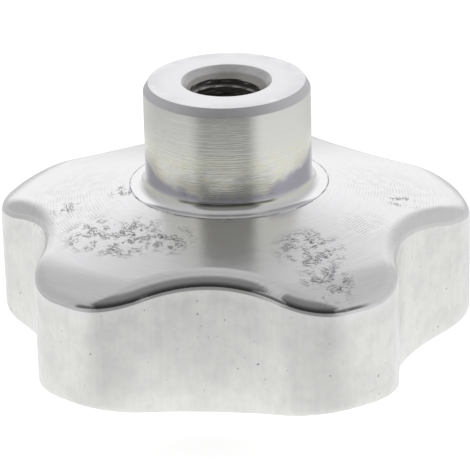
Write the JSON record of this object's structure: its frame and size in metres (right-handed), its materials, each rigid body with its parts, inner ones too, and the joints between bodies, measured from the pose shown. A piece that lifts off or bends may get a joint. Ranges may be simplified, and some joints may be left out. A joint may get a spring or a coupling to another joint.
{
  "type": "star knob",
  "caption": "Star-shaped hand knob in polished cast aluminium, with finger scallops, a domed crown and a turned hub with a blind tapped hole.",
  "frame": {"origin": "on the hub's axis where the wall of the tapped hole starts, at the foot of its countersink, 1.25 mm below the hub's face", "axes": "+Z along the hub's axis out of the tapped hole, so the knob lies on its crown with the hub up; the nearest finger scallop is centred on -Y"},
  "size_m": [0.0488, 0.0471, 0.0298],
  "materials": {
    "polished_aluminium": "polished cast and turned"
  },
  "bodies": {
    "root": {"star_knob": "polished_aluminium"}
  },
  "joints": []
}
